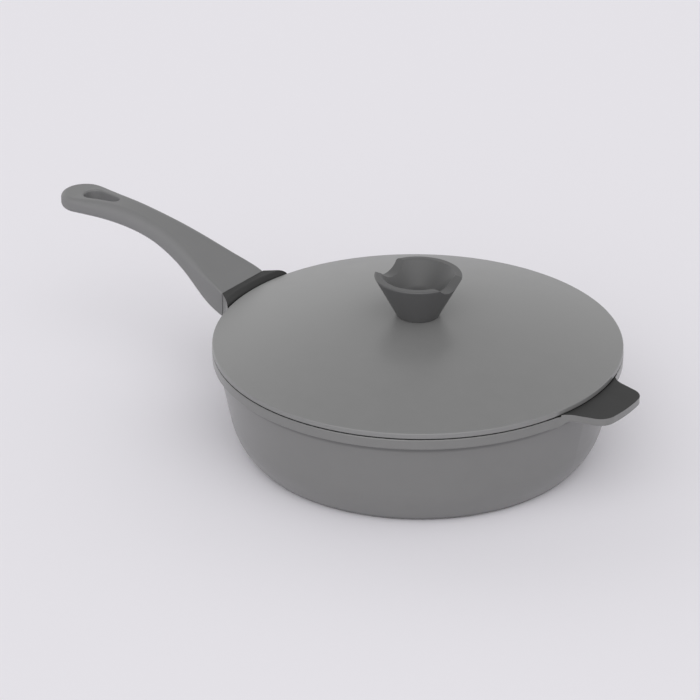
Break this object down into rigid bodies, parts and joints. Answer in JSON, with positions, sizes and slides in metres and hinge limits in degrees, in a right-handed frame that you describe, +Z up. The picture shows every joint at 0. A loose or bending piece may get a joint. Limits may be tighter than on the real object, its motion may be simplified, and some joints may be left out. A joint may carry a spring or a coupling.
{
  "type": "saute pan with lid",
  "caption": "Deep coated saute pan with a rounded heel, long curved handle, helper tab and a domed lid whose knob holds a spoon across its rim.",
  "frame": {"origin": "centre of the base, on the surface the pan stands on", "axes": "+Z up, +X towards the helper tab, so the long handle points along -X"},
  "size_m": [0.4898, 0.2864, 0.1278],
  "materials": {
    "coated_casting": "cast aluminium, matt grey coat outside, darker charcoal non-stick coat inside, on the rim, on the tab and on the boss top",
    "lid_coating": "cast aluminium, matt grey coat",
    "plate_steel": "turned stainless steel",
    "grip_moulding": "phenolic moulding, soft matt grey",
    "knob_moulding": "phenolic moulding, soft matt grey",
    "screw_steel": "plain stainless steel",
    "insert_brass": "turned brass"
  },
  "bodies": {
    "pan": {"pan_body": "coated_casting", "induction_plate": "plate_steel", "handle_grip": "grip_moulding", "handle_screw": "screw_steel", "handle_washer": "screw_steel"},
    "lid": {"lid": "lid_coating", "knob": "knob_moulding", "knob_insert": "insert_brass", "knob_screw": "screw_steel", "knob_washer": "screw_steel"}
  },
  "joints": [
    {"name": "lid_lift", "type": "slide", "parent": "pan", "child": "lid", "axis": [0, 0, 1], "range_m": [0, 0.12]}
  ]
}
